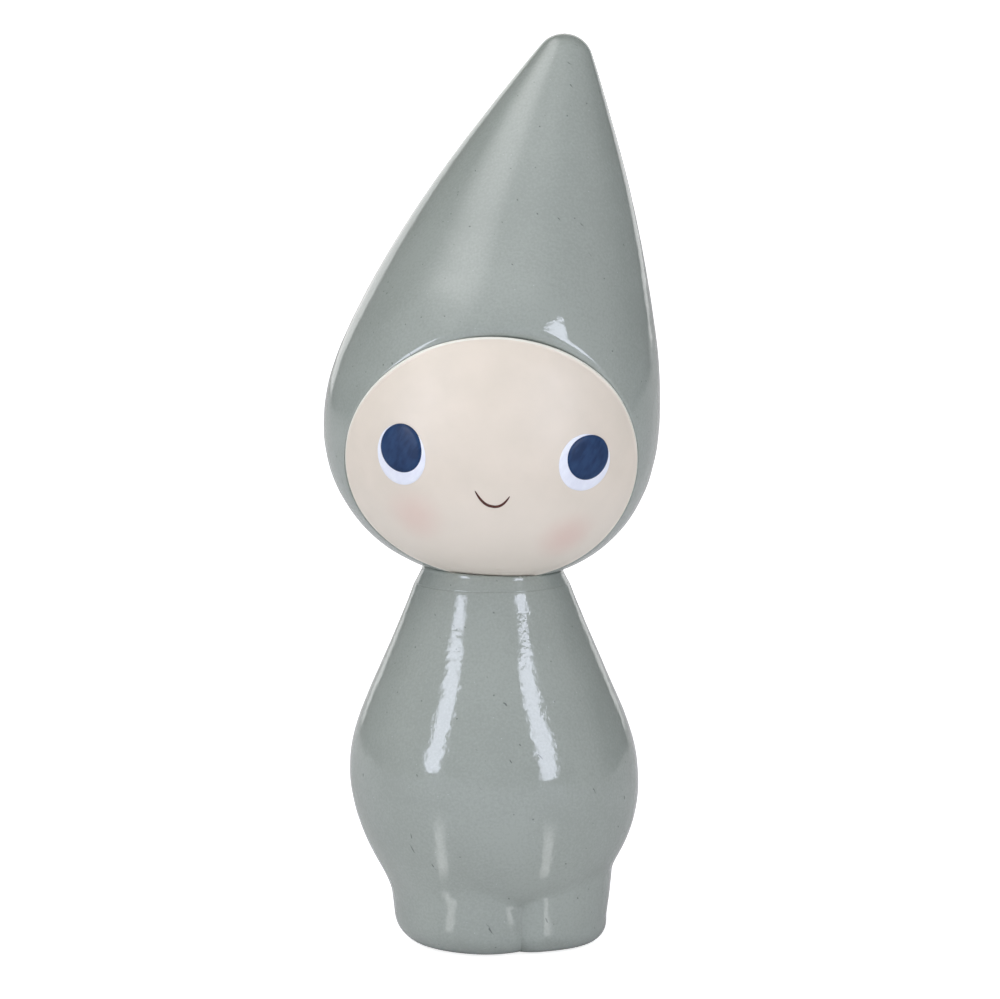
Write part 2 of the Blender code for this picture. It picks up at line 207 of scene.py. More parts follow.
def add_skin(name, rings, material, slot, *nodes, ring_shaped=False):
    """Solid mesh from rings of points, closed at both ends, or into a ring."""
    count, columns = rings.shape[:2]
    points = rings.reshape(-1, 3)
    index = np.arange(count * columns).reshape(count, columns)
    rows = np.vstack((index, index[:1])) if ring_shaped else index
    along = np.roll(rows, -1, axis=1)
    quads = np.stack((rows[:-1], along[:-1], along[1:], rows[1:]), axis=-1).reshape(-1, 4)
    faces = quads.tolist()
    if not ring_shaped:
        first, last = len(points), len(points) + 1
        points = np.vstack((points, rings[0].mean(axis=0), rings[-1].mean(axis=0)))
        for i in range(columns):
            j = (i + 1) % columns
            faces.append((first, int(index[0, j]), int(index[0, i])))
            faces.append((last, int(index[-1, i]), int(index[-1, j])))
    a, b, c, d = (points[quads[:, k]] - points.mean(axis=0) for k in range(4))
    inside_out = np.einsum("ij,ij->", np.cross(c - a, d - b), a + b + c + d) < 0
    if inside_out:
        faces = [face[::-1] for face in faces]
    mesh = bpy.data.meshes.new(name)
    mesh.from_pydata(points.tolist(), [], faces)
    mesh.validate()
    mesh.shade_smooth()
    mesh.materials.append(material)
    piece = bpy.data.objects.new(name, mesh)
    bpy.context.scene.collection.objects.link(piece)
    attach(piece, "root")
    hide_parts(*nodes)


# ---------------------------------------------------------------- head form

def head_outline():
    """Head's outline from tip to underside: distance from the hood's axis, and height along it."""
    angles = np.linspace(pi / 2, TIP_SLOPE, 60)
    tip = np.stack((TIP_RADIUS * np.cos(angles),
                    HOOD_LENGTH - TIP_RADIUS + TIP_RADIUS * np.sin(angles)), axis=-1)
    lower, upper = FLANK_HANDLES
    joint = tip[-1]
    flank = bezier((joint, joint + upper * np.array((sin(TIP_SLOPE), -cos(TIP_SLOPE))),
                    (HEAD_RADIUS, lower), (HEAD_RADIUS, 0)), 600)
    angles = np.linspace(0, pi / 2, 300)
    across, down = np.abs(np.cos(angles)), np.sin(angles)
    reach = (across ** CHIN_FULLNESS + down ** CHIN_FULLNESS) ** (-1 / CHIN_FULLNESS)
    chin = np.stack((HEAD_RADIUS * across * reach, -CHIN_DROP * down * reach), axis=-1)
    return np.vstack((tip, flank[1:], chin[1:]))


OUTLINE = head_outline()
STEPS = np.linalg.norm(np.diff(OUTLINE, axis=0), axis=1)
SHARES = np.concatenate(((0,), np.cumsum(STEPS))) / STEPS.sum()
POLARS = np.arctan2(OUTLINE[:, 0], OUTLINE[:, 1])
REACHES = np.hypot(OUTLINE[:, 0], OUTLINE[:, 1])
HOOD_FRAME = basis(HOOD_AXIS)
FACE_FRAME = basis(direction(0.0, FACE_ELEVATION), FACE_ROLL)


def head_reach(directions):
    """Distance from the head's centre to its surface in each direction."""
    local = directions @ HOOD_FRAME
    polar = np.arctan2(np.hypot(local[..., 0], local[..., 1]), local[..., 2])
    return np.interp(polar, POLARS, REACHES)


def to_globe(directions):
    """Places on a unit globe round the hood's axis, where latitude is even along the outline."""
    local = directions @ HOOD_FRAME
    polar = np.arctan2(np.hypot(local[..., 0], local[..., 1]), local[..., 2])
    latitude = pi * np.interp(polar, POLARS, SHARES)
    turn = np.arctan2(local[..., 1], local[..., 0])
    return np.stack((np.sin(latitude) * np.cos(turn), np.sin(latitude) * np.sin(turn),
                     np.cos(latitude)), axis=-1)


def from_globe(places):
    """Points on the head's surface for places on the globe."""
    latitude = np.arctan2(np.hypot(places[..., 0], places[..., 1]), places[..., 2])
    turn = np.arctan2(places[..., 1], places[..., 0])
    across = np.interp(latitude / pi, SHARES, OUTLINE[:, 0])
    along = np.interp(latitude / pi, SHARES, OUTLINE[:, 1])
    local = np.stack((across * np.cos(turn), across * np.sin(turn), along), axis=-1)
    return HEAD_CENTRE + local @ HOOD_FRAME.T


def sway(points):
    """How far back the hood's middle part bellies at points of its surface."""
    along = (points - HEAD_CENTRE) @ np.array(HOOD_AXIS)
    climb = np.clip((along - SWAY_FOOT) / (HOOD_LENGTH - SWAY_FOOT), 0, 1)
    return HOOD_SWAY * np.sin(pi * climb ** 0.6) * smooth_step(climb, 0, 0.25)


def face_edge_angle(turn):
    """Angle at the head's centre from the face's axis to its outline."""
    return np.arctan(np.hypot(tan(FACE_HALF_WIDTH) * np.cos(turn), tan(FACE_HALF_HEIGHT) * np.sin(turn)))


def face_direction(turn, polar):
    """Unit vector at an angle from the face's axis, towards a turn round its outline."""
    heading = np.arctan2(tan(FACE_HALF_HEIGHT) * np.sin(turn), tan(FACE_HALF_WIDTH) * np.cos(turn))
    local = np.stack((np.sin(polar) * np.cos(heading), np.sin(polar) * np.sin(heading),
                      np.cos(polar)), axis=-1)
    return local @ FACE_FRAME.T


def face_reach(directions):
    """Distance from the head's centre to the face's surface."""
    form = head_reach(directions)
    return -smooth_max(-form, -HEAD_RADIUS - BROW_RISE, BROW_FILLET) - FACE_SINK


# ---------------------------------------------------------------- hood

def add_hood(material):
    """Hood and back of the head in one skin, with a rolled lip round the face and a seat behind it."""
    turn = np.linspace(0, 2 * pi, COLUMNS, endpoint=False)
    outline = face_direction(turn, face_edge_angle(turn))
    edge = to_globe(outline)
    middle = to_globe(FACE_FRAME[:, 2])
    heading = unit(edge - (edge @ middle)[:, None] * middle)
    start = np.arccos(edge @ middle)

    def outer(angle):
        return from_globe(middle * np.cos(angle)[..., None] + heading * np.sin(angle)[..., None])

    nudge = 0.002
    speed = np.linalg.norm(outer(start + nudge) - outer(start - nudge), axis=-1) / (2 * nudge)
    over_forehead = smooth_step(np.sin(turn), 0.1, 0.85)
    lip = LIP_THIN + (LIP_THICK - LIP_THIN) * over_forehead
    drop = head_reach(outline) - face_reach(outline)
    lip_bend = np.arccos(1 - np.clip(drop / lip, 0, 1))
    overhang = lip * np.sin(lip_bend)
    first = start + overhang / speed
    shares = np.linspace(0, 1, 230)[:-1] ** 1.1
    skin = outer(first[None, :] + (pi - first)[None, :] * shares[:, None])
    steps = np.linalg.norm(np.diff(skin, axis=0), axis=-1)
    from_lip = np.vstack((0 * turn, np.cumsum(steps, axis=0)))
    in_front = 0.75 - 0.35 * unit(skin - HEAD_CENTRE)[..., 1]
    skin[..., 1] += sway(skin) * in_front * smooth_step(from_lip, 0, SWAY_FADE)
    skin += relief(skin, HEAD_CENTRE)

    tangent = np.roll(skin[0], -1, axis=0) - np.roll(skin[0], 1, axis=0)
    normal = unit(np.cross(tangent, skin[1] - skin[0]))
    normal *= np.sign(np.sum(normal * (skin[0] - HEAD_CENTRE), axis=-1))[:, None]
    inward = unit(np.cross(tangent, normal))
    inward *= np.sign(np.sum(inward * (skin[0] - skin[1]), axis=-1))[:, None]
    bends = (np.linspace(1, 0, 10)[:-1, None] * lip_bend)[..., None]
    roll = skin[0] + lip[:, None] * (normal * (np.cos(bends) - 1) + inward * np.sin(bends))

    wall_top = roll[0] - HEAD_CENTRE
    wall_heading = unit(wall_top)
    floor = HEAD_RADIUS - SEAT_DEPTH
    shares = np.linspace(0.04, 1, 14)[:, None, None]
    seat = floor * unit(FACE_FRAME[:, 2] + shares * (wall_heading - FACE_FRAME[:, 2]))
    wall = np.linspace(0.25, 0.75, 3)[:, None, None]
    sides = seat[-1] + wall * (wall_top - seat[-1])
    rings = np.concatenate((HEAD_CENTRE + seat, HEAD_CENTRE + sides, roll, skin))
    add_skin("hood_skin", rings, material, "sage_lacquer", "hood")


# ---------------------------------------------------------------- face

def add_face(material):
    """Domed face whose edge has a low painted rim and a small rounding."""
    turn = np.linspace(0, 2 * pi, COLUMNS, endpoint=False)
    edge = face_edge_angle(turn) - FACE_GAP / HEAD_RADIUS
    near_edge = np.array((2.2, 1.8, 1.5, 1.2, 1.0, 0.85, 0.7, 0.6, 0.5, 0.4, 0.3, 0.2, 0.14, 0.09,
                          0.05, 0.02, 0)) * MM
    shares = np.linspace(0.02, 1, 60)[:-1, None]
    inner = shares * (edge - near_edge[0] / HEAD_RADIUS)[None, :]
    polar = np.vstack((inner, edge[None, :] - near_edge[:, None] / HEAD_RADIUS))
    from_edge = (edge[None, :] - polar) * HEAD_RADIUS
    directions = face_direction(turn[None, :], polar)
    rounding = np.clip(FACE_EDGE - from_edge, 0, FACE_EDGE)
    drop = FACE_EDGE - np.sqrt(FACE_EDGE ** 2 - rounding ** 2)
    rim = RIM_HEIGHT * np.exp(-((from_edge - RIM_INSET) / RIM_SPREAD) ** 2)
    reach = face_reach(directions) + rim - drop
    front = directions * reach[..., None]
    front += relief(front, np.zeros(3), 0.02 * MM, 0.006 * MM)
    back_reach = face_reach(directions[-1]) - FACE_THICKNESS
    shares = np.linspace(1, 0.04, 12)[:, None]
    back = face_direction(turn[None, :], shares * edge[None, :]) * back_reach[None, :, None].min()
    rings = HEAD_CENTRE + np.concatenate((front, back))
    add_skin("face_skin", rings, material, "cream_face", "face")


def add_spot(name, node, radius, proud, outline, material, slot):
    """Brushed round spot where a CAD disc is; outline gives its radius as a share by turn."""
    low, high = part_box(node)
    frame_axes = basis(Vector((low + high) / 2) - Vector(HEAD_CENTRE))
    turn = np.linspace(0, 2 * pi, 96, endpoint=False)
    shares = np.concatenate((np.linspace(0.08, 0.9, 14), (0.94, 0.97, 0.985, 0.995, 1)))
    reach = radius * outline(turn)
    polar = shares[:, None] * reach[None, :] / HEAD_RADIUS
    local = np.stack((np.sin(polar) * np.cos(turn), np.sin(polar) * np.sin(turn),
                      np.cos(polar)), axis=-1)
    directions = local @ frame_axes.T
    rise = proud * (1 - shares ** 16) ** 0.5
    sunk = 0.3 * MM
    top = directions * (face_reach(directions) + rise[:, None])[..., None]
    under = directions[::-1] * (face_reach(directions[::-1]) - sunk)[..., None]
    rings = HEAD_CENTRE + np.concatenate((top, under[1:]))
    add_skin(name, rings, material, slot, node)


def add_eyes(white, navy):
    """Whites and irises, each with the slightly uneven outline of a brush."""
    def tall(turn):
        return 0.985 - 0.045 * np.cos(2 * turn) + 0.006 * np.cos(3 * turn) - 0.03 * np.sin(turn)

    def plump(turn):
        return 1 + 0.03 * np.cos(2 * turn + 0.3) + 0.006 * np.cos(3 * turn) - 0.03 * np.sin(turn)

    def egg(turn):
        return 1.01 + 0.012 * np.cos(2 * (turn - radians(-70))) - 0.012 * np.sin(3 * turn + 0.8)

    def rounded(turn):
        return 1 + 0.05 * np.cos(2 * turn) + 0.01 * np.sin(3 * turn)

    for side, white_outline, iris_outline in (("left", tall, egg), ("right", plump, rounded)):
        add_spot("white_" + side, "eye_white_" + side, WHITE_RADIUS, WHITE_PROUD, white_outline,
                 white, "white_enamel")
        add_spot("pupil_" + side, "iris_" + side, IRIS_RADIUS, IRIS_PROUD, iris_outline,
                 navy, "navy_enamel")


def add_smile(material):
    """Fine brushed line that thins towards its two ends."""
    low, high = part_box("smile")
    middle = (low + high) / 2 - Vector(HEAD_CENTRE)
    azimuth = np.arctan2(middle.x, -middle.y)
    ends = np.arcsin((high.z - HEAD_CENTRE[2]) / HEAD_RADIUS)
    across = np.linspace(-1, 1, 49)
    bow = SMILE_DROP * (1 - np.abs(across) ** 2.4)
    path_azimuth = azimuth + SMILE_HALF_WIDTH * across
    path_elevation = ends - SMILE_SINK - SMILE_TILT * across - bow
    path = unit(direction(path_azimuth, path_elevation))
    along = unit(np.gradient(path, axis=0))
    sideways = np.cross(path, along)
    taper = (1 - np.abs(across) ** 5) ** 0.5 * (0.85 + 0.15 * np.cos(across * 2)) + 0.03
    turn = np.linspace(0, 2 * pi, 16, endpoint=False)
    half_width = SMILE_WIDTH / 2 * taper
    centre = path * face_reach(path)[:, None]
    rings = (centre[:, None, :]
             + sideways[:, None, :] * (half_width[:, None] * np.cos(turn))[..., None]
             + path[:, None, :] * (SMILE_PROUD * taper[:, None] * np.sin(turn))[..., None])
    add_skin("smile_line", HEAD_CENTRE + rings, material, "brown_line", "smile")


# ---------------------------------------------------------------- body

def pear_radius(height):
    """Radius of the pear at each height: a curved shoulder above the belly and an oval below it."""
    lower, upper = SHOULDER_HANDLES
    shoulder = bezier(((BELLY_RADIUS, BELLY_HEIGHT), (BELLY_RADIUS, BELLY_HEIGHT + lower),
                       (NECK_RADIUS + upper * sin(NECK_SLOPE), NECK_HEIGHT - upper * cos(NECK_SLOPE)),
                       (NECK_RADIUS, NECK_HEIGHT)), 400)
    above = np.interp(height, shoulder[:, 1], shoulder[:, 0])
    fall = np.clip((BELLY_HEIGHT - height) / BELLY_DROP, 0, 0.999)
    return np.where(height > BELLY_HEIGHT, above, BELLY_RADIUS * np.sqrt(1 - fall ** 2))


def feet_radius(azimuth, height):
    """Radius of the block of feet: two lobes that turn in to a groove in front and behind."""
    rise = np.clip((height - FOOT_HEIGHT) / (FEET_TOP - FOOT_HEIGHT), 0, 1)
    radius = FEET_LOW_RADIUS + (FEET_TOP_RADIUS - FEET_LOW_RADIUS) * rise
    radius = radius - 1.5 * np.clip(height - FEET_TOP, 0, None)
    off = (azimuth - FEET_YAW + pi / 2) % pi - pi / 2
    left_lobe = np.clip(1 + off / LEFT_LOBE, 0, 1) ** 1.7
    right_lobe = np.clip(1 - off / RIGHT_LOBE, 0, 1) ** 2
    set_back = RIGHT_SET_BACK * (1 - smooth_step(off, radians(8), radians(60)))
    dent = np.where(off < 0, LEFT_DENT * left_lobe, RIGHT_DENT * right_lobe + set_back)
    return radius * (1 - dent)


def centre_line(height):
    """How far the body's middle has moved towards +X at each height."""
    return (FEET_SHIFT * (1 - smooth_step(height, 8 * MM, 36 * MM))
            + TOE_SHIFT * (1 - smooth_step(height, 0, 5 * MM)))


def add_body(material):
    """Body casting in one skin, from the flat underside to the flat top under the neck."""
    azimuth = np.linspace(0, 2 * pi, COLUMNS, endpoint=False)[None, :]
    bend = np.linspace(-pi / 2, 0, 12)[:-1, None]
    low = FOOT_HEIGHT + FEET_ROUNDING * (1 + np.sin(bend))
    high = np.linspace(FOOT_HEIGHT + FEET_ROUNDING, NECK_HEIGHT - SHOULDER_EDGE, 190)[:, None]
    high = np.vstack((high, NECK_HEIGHT - SHOULDER_EDGE * np.linspace(0.9, 0, 8)[:, None]))
    height = np.vstack((low, high))
    inset = np.vstack((FEET_ROUNDING * (1 - np.cos(bend)), 0 * high))
    turned = SHOULDER_TURN * np.clip((height - NECK_HEIGHT) / SHOULDER_EDGE + 1, 0, 1)
    inset += SHOULDER_EDGE * (1 - np.sqrt(1 - turned ** 2))

    side = np.sin(azimuth)
    lift = CREASE_TILT * side * (1 - smooth_step(height, CREASE_LOW, CREASE_HIGH))
    softness = (0.7 + 1.4 * smooth_step(-side, 0.1, 0.7)) * MM
    off_belly = (height - BELLY_HEIGHT) / BELLY_BULGE_REACH
    bulge = BELLY_BULGE * np.clip(side, 0, 1) * np.exp(-off_belly ** 2)
    spread = (side / 0.45) ** 2 + ((height - CHEST_HEIGHT) / CHEST_BULGE_REACH) ** 2
    chest = CHEST_BULGE * np.exp(-spread) * smooth_step(np.cos(azimuth), 0, 0.3)
    belly = pear_radius(height - lift) + bulge + chest
    feet = feet_radius(azimuth, height) + FEET_TILT * side
    radius = smooth_max(belly, feet, softness) - inset
    skin = direction(azimuth + 0 * height, 0.0) * radius[..., None]
    skin[..., 0] += centre_line(height)
    skin[..., 2] = height
    axis = np.zeros_like(skin)
    axis[..., 2] = height
    skin += relief(skin, axis)
    under = np.linspace(0.1, 0.9, 6)[:, None, None]
    middle = np.array((FEET_SHIFT, 0, FOOT_HEIGHT))
    sole = middle + under * (skin[0] - middle)
    sole[..., 2] = skin[0, :, 2].mean()
    top_middle = np.array((0, 0, NECK_HEIGHT))
    top = top_middle + np.linspace(0.9, 0.1, 5)[:, None, None] * (skin[-1] - top_middle)
    add_skin("body_skin", np.concatenate((sole, skin, top)), material, "sage_lacquer", "body")


def underside(x, y):
    """Height of the head's underside over a place."""
    height = HEAD_CENTRE[2] - CHIN_DROP + 0 * x
    for _ in range(30):
        toward = unit(np.stack((x, y, height - HEAD_CENTRE[2]), axis=-1))
        height = HEAD_CENTRE[2] - np.sqrt(head_reach(toward) ** 2 - x ** 2 - y ** 2)
    return height


def add_neck(material):
    """Filler between body and head: a sloping band and a rounded top under the head."""
    azimuth = np.linspace(0, 2 * pi, COLUMNS, endpoint=False)
    flat = direction(azimuth, 0.0)[:, :2]
    foot = NECK_RADIUS - NECK_BAND_INSET
    inner = NECK_INNER_SHARE * foot + 0 * azimuth
    bottom = NECK_HEIGHT - NECK_OVERLAP
    waist = foot - 1.0 * MM + 0 * azimuth
    for _ in range(4):
        top = underside(*(flat * (waist - NECK_CROWN)[:, None]).T) + NECK_OVERLAP
        waist = foot - tan(NECK_BAND_SLOPE) * (top - NECK_CROWN - bottom)
    rings = []
    for share in np.linspace(0, 1, 11):
        rings.append((foot + (waist - foot) * share, bottom + (top - NECK_CROWN - bottom) * share))
    for bend in np.linspace(0, pi / 2, 9)[1:]:
        rings.append((waist - NECK_CROWN * (1 - cos(bend)), top - NECK_CROWN * (1 - sin(bend))))
    rings.append((inner, underside(*(flat * inner[:, None]).T) + NECK_OVERLAP))
    rings.append((inner, bottom + 0 * azimuth))
    grid = np.stack([np.column_stack((flat * radius[:, None], height)) for radius, height in rings])
    axis = np.zeros_like(grid)
    axis[..., 2] = grid[..., 2]
    grid += relief(grid, axis)
    add_skin("neck_band", grid, material, "sage_lacquer", "neck_bead", ring_shaped=True)


def add_pad(name, node, material):
    """Felt half disc with softly rounded edges and a fuzzy, uneven outline."""
    low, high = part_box(node)
    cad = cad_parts[node].data
    corners = np.array([v.co for v in cad.vertices])
    outline = corners[corners[:, 2] < (low.z + high.z) / 2][:, :2]
    middle = outline.mean(axis=0)
    turn = np.linspace(0, 2 * pi, 180, endpoint=False)
    spread = np.arctan2(outline[:, 1] - middle[1], outline[:, 0] - middle[0])
    order = np.argsort(spread)
    ring = outline[order]
    spread = spread[order]
    looped = np.vstack((ring[-1:], ring, ring[:1]))
    angles = np.concatenate((spread[-1:] - 2 * pi, spread, spread[:1] + 2 * pi))
    wrapped = (turn + pi) % (2 * pi) - pi
    edge = np.column_stack([np.interp(wrapped, angles, looped[:, axis]) for axis in (0, 1)])
    thickness = high.z - low.z
    rings = []
    for inset, level in ((0.9, 0), (0.5, 0), (0.2, 0), (0.06, 0), (0.02, 0.12), (0, 0.35), (0, 0.7),
                         (0.02, 0.92), (0.06, 1), (0.5, 1), (0.9, 1)):
        spot = middle + (1 - inset) * (edge - middle)
        rings.append(np.column_stack((spot, np.full(len(spot), low.z + level * thickness))))
    grid = np.stack(rings)
    fuzz = 0.04 * MM * unevenness(grid, 0.9 * MM, 5)
    grid[..., :2] -= unit(grid[..., :2] - middle) * np.abs(fuzz)[..., None]
    add_skin(name, grid, material, "grey_felt", node)


# ---------------------------------------------------------------- materials

class Nodes:
    """A material's node tree with short ways to add and join nodes."""

    def __init__(self, name):
        self.material = bpy.data.materials.new(name)
        self.material.use_nodes = True
        self.tree = self.material.node_tree
        self.shader = self.tree.nodes["Principled BSDF"]
        self.place = self.add("ShaderNodeTexCoord").outputs["Object"]

    def add(self, kind, **settings):
        """Node of a kind with its properties set."""
        node = self.tree.nodes.new(kind)
        for key, value in settings.items():
            setattr(node, key, value)
        return node

    def put(self, node, **inputs):
        """Set or join a node's inputs by name, with _ for a space."""
        for key, value in inputs.items():
            socket = node.inputs[key.replace("_", " ")]
            if isinstance(value, bpy.types.NodeSocket):
                self.tree.links.new(value, socket)
            else:
                socket.default_value = value

    def noise(self, scale, detail=2.0, place=None, **more):
        """Noise value at so many waves a metre."""
        node = self.add("ShaderNodeTexNoise")
        self.put(node, Vector=place or self.place, Scale=scale, Detail=detail, **more)
        return node.outputs["Fac"]

    def remap(self, value, low, high, to_low=0.0, to_high=1.0, smooth=False):
        """Value moved from one range to another and held inside it."""
        node = self.add("ShaderNodeMapRange", clamp=True)
        node.interpolation_type = "SMOOTHSTEP" if smooth else "LINEAR"
        self.put(node, Value=value, From_Min=low, From_Max=high, To_Min=to_low, To_Max=to_high)
        return node.outputs["Result"]

    def maths(self, operation, a, b=0.0):
        """One sum on two values."""
        node = self.add("ShaderNodeMath", operation=operation)
        for socket, value in zip(node.inputs, (a, b)):
            if isinstance(value, bpy.types.NodeSocket):
                self.tree.links.new(value, socket)
            else:
                socket.default_value = value
        return node.outputs["Value"]

    def mix(self, factor, a, b):
        """Colour between two colours."""
        node = self.add("ShaderNodeMix", data_type="RGBA")
        colour_inputs = [s for s in node.inputs if s.type == "RGBA"]
        for socket, value in zip([node.inputs[0]] + colour_inputs, (factor, a, b)):
            if isinstance(value, bpy.types.NodeSocket):
                self.tree.links.new(value, socket)
            else:
                socket.default_value = value
        return next(s for s in node.outputs if s.type == "RGBA")

    def specks(self, scale, size, share, place=None):
        """1 inside small round specks, one in some of the cells of a net, else 0."""
        cells = self.add("ShaderNodeTexVoronoi")
        self.put(cells, Vector=place or self.place, Scale=scale)
        split = self.add("ShaderNodeSeparateColor")
        self.put(split, Color=cells.outputs["Color"])
        near = self.remap(cells.outputs["Distance"], size * scale, 0.4 * size * scale)
        chosen = self.maths("LESS_THAN", split.outputs[0], share)
        return self.maths("MULTIPLY", near, chosen)

    def bump(self, height, depth, normal=None):
        """Normal of a relief of a depth in metres."""
        node = self.add("ShaderNodeBump")
        self.put(node, Height=height, Distance=depth, Strength=1.0)
        if normal is not None:
            self.put(node, Normal=normal)
        return node.outputs["Normal"]


def linear(red, green, blue):
    """Scene-linear colour of an 8-bit screen colour."""
    return (*(((value / 255 + 0.055) / 1.055) ** 2.4 for value in (red, green, blue)), 1)


def sage_lacquer():
    """Glossy grey-green lacquer with faint mottling, dust specks and a slightly wavy surface."""
    paint = Nodes("sage_lacquer_look")
    mottle = paint.remap(paint.maths("ADD", paint.noise(70, 3), paint.noise(2400, 1)), 0.8, 1.2)
    colour = paint.mix(mottle, linear(145, 151, 144), linear(152, 158, 151))
    dark = paint.specks(330, 0.19 * MM, 0.45)
    pale = paint.specks(650, 0.11 * MM, 0.5)
    curl = paint.add("ShaderNodeMapping")
    curl.vector_type = "TEXTURE"
    curl.inputs["Rotation"].default_value = (radians(10), radians(-35), 0)
    curl.inputs["Scale"].default_value = (1, 1, 10)
    wander = paint.add("ShaderNodeVectorMath", operation="SCALE")
    wobble = paint.add("ShaderNodeTexNoise")
    paint.put(wobble, Vector=paint.place, Scale=900, Detail=1)
    wander.inputs["Scale"].default_value = 0.6 * MM
    paint.put(wander, Vector=wobble.outputs["Color"])
    bent = paint.add("ShaderNodeVectorMath", operation="ADD")
    paint.tree.links.new(paint.place, bent.inputs[0])
    paint.tree.links.new(wander.outputs["Vector"], bent.inputs[1])
    paint.put(curl, Vector=bent.outputs["Vector"])
    fibres = paint.specks(640, 0.15 * MM, 0.6, place=curl.outputs["Vector"])
    colour = paint.mix(paint.maths("MULTIPLY", dark, 0.7), colour, linear(84, 90, 90))
    colour = paint.mix(paint.maths("MULTIPLY", fibres, 0.7), colour, linear(64, 70, 70))
    colour = paint.mix(paint.maths("MULTIPLY", pale, 0.45), colour, linear(196, 202, 202))
    roughness = paint.remap(paint.noise(130, 4), 0.3, 0.75, 0.035, 0.08)
    swell = paint.bump(paint.noise(330, 2), 0.03 * MM)
    split = paint.add("ShaderNodeSeparateXYZ")
    paint.put(split, Vector=paint.place)
    on_body = paint.remap(split.outputs["Z"], NECK_HEIGHT + 8 * MM, NECK_HEIGHT, 0.5, 1)
    peel = paint.bump(paint.maths("MULTIPLY", paint.noise(1100, 3), on_body), 0.036 * MM, normal=swell)
    dust = paint.bump(paint.maths("ADD", dark, pale), 0.02 * MM, normal=peel)
    paint.put(paint.shader, Base_Color=colour, Roughness=roughness, Normal=dust, IOR=1.6)
    return paint.material


def face_outline_share(paint):
    """Node value that is 0 on the face's axis and 1 on its outline."""
    arm = paint.add("ShaderNodeVectorMath", operation="SUBTRACT")
    paint.tree.links.new(paint.place, arm.inputs[0])
    arm.inputs[1].default_value = HEAD_CENTRE
    parts = []
    for axis in FACE_FRAME.T:
        along = paint.add("ShaderNodeVectorMath", operation="DOT_PRODUCT")
        paint.tree.links.new(arm.outputs["Vector"], along.inputs[0])
        along.inputs[1].default_value = axis
        parts.append(along.outputs["Value"])
    level, up, outward = parts
    level = paint.maths("DIVIDE", paint.maths("DIVIDE", level, outward), tan(FACE_HALF_WIDTH))
    up = paint.maths("DIVIDE", paint.maths("DIVIDE", up, outward), tan(FACE_HALF_HEIGHT))
    squares = paint.maths("ADD", paint.maths("MULTIPLY", level, level), paint.maths("MULTIPLY", up, up))
    return paint.maths("SQRT", squares)


def cream_face():
    """Satin cream paint with two soft blushes, a paler rim, painted light that lightens it towards the
    chin, and fine brushed grain.
    """
    paint = Nodes("cream_face_look")
    tone = paint.remap(paint.noise(160, 4), 0.3, 0.7)
    colour = paint.mix(tone, linear(214, 204, 189), linear(220, 209, 194))
    split = paint.add("ShaderNodeSeparateXYZ")
    paint.put(split, Vector=paint.place)
    # Painted light: the face is lighter towards the chin, standing in for light bounced up onto it from
    # below.
    middle = float(HEAD_CENTRE[2])
    chin = paint.remap(split.outputs["Z"], middle - 6 * MM, middle - 23 * MM)
    colour = paint.mix(chin, colour, linear(229, 220, 207))
    for azimuth, elevation, reach, strength in ((-30.8, -28.2, 6.8, 0.27), (33.8, -37.8, 6.6, 0.33)):
        cheek = HEAD_CENTRE + HEAD_RADIUS * direction(radians(azimuth), radians(elevation))
        away = paint.add("ShaderNodeVectorMath", operation="DISTANCE")
        paint.tree.links.new(paint.place, away.inputs[0])
        away.inputs[1].default_value = cheek
        ragged = paint.maths("ADD", away.outputs["Value"],
                             paint.maths("MULTIPLY", paint.noise(260, 3), 1.5 * MM))
        glow = paint.remap(ragged, reach * MM + 0.75 * MM, 1.2 * MM, 0, strength, smooth=True)
        colour = paint.mix(glow, colour, linear(213, 160, 152))
    # The paler rim is partly the paint's pale edge and partly a painted highlight along the face's
    # outline.
    rim = paint.remap(face_outline_share(paint), 0.95, 0.965, smooth=True)
    colour = paint.mix(paint.maths("MULTIPLY", rim, 0.65), colour, linear(238, 240, 230))
    dust = paint.specks(420, 0.09 * MM, 0.3)
    colour = paint.mix(paint.maths("MULTIPLY", dust, 0.35), colour, linear(150, 138, 128))
    roughness = paint.remap(paint.noise(400, 3), 0.3, 0.7, 0.42, 0.55)
    grain = paint.bump(paint.noise(2600, 3), 0.004 * MM)
    coat = paint.bump(paint.noise(420, 2), 0.02 * MM, normal=grain)
    paint.put(paint.shader, Base_Color=colour, Roughness=roughness, Normal=coat)
    return paint.material


def brushed_enamel(name, dark, light, rough):
    """Hand-brushed enamel: short diagonal strokes in the colour and the relief."""
    paint = Nodes(name)
    stretch = paint.add("ShaderNodeMapping")
    stretch.vector_type = "TEXTURE"
    stretch.inputs["Rotation"].default_value = (0, radians(38), 0)
    stretch.inputs["Scale"].default_value = (1, 1, 4.5)
    paint.put(stretch, Vector=paint.place)
    strokes = paint.noise(1500, 3, place=stretch.outputs["Vector"])
    patches = paint.noise(330, 2)
    blend = paint.remap(paint.maths("ADD", strokes, patches), 0.8, 1.2)
    colour = paint.mix(blend, linear(*dark), linear(*light))
    roughness = paint.remap(strokes, 0.3, 0.7, rough, rough + 0.12)
    paint.put(paint.shader, Base_Color=colour, Roughness=roughness, Specular_IOR_Level=0.26,
              Normal=paint.bump(strokes, 0.01 * MM))
    return paint.material


